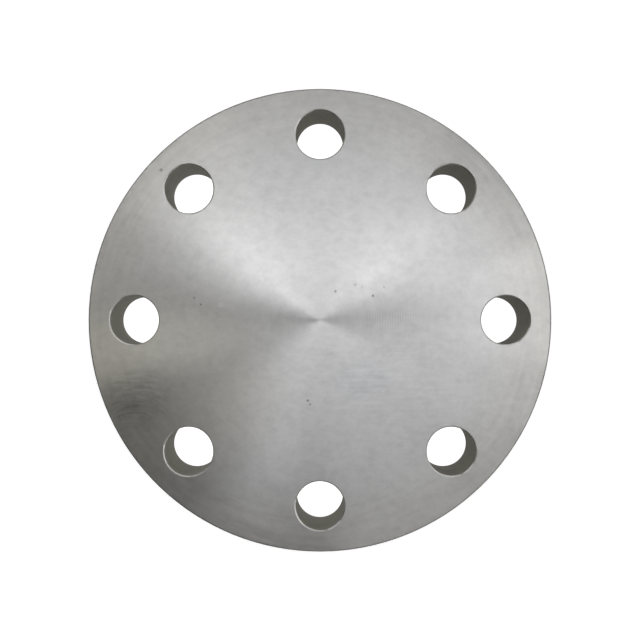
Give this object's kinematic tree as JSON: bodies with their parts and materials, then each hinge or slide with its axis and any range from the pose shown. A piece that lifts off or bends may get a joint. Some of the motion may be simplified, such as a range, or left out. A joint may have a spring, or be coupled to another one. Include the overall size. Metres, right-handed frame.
{
  "type": "blind flange",
  "caption": "Flat round blind flange that closes the end of a flanged pipe, with a ring of bolt holes and a raised gasket face underneath.",
  "frame": {"origin": "centre of the raised gasket face, on which the flange lies", "axes": "+Z along the flange's axis, from the gasket face to the nut face; a bolt hole lies on +X and on +Y"},
  "size_m": [0.21, 0.21, 0.0286],
  "materials": {
    "machined_steel": "turned steel with fine concentric tool marks, dull from handling"
  },
  "bodies": {
    "root": {"blind_flange": "machined_steel"}
  },
  "joints": []
}
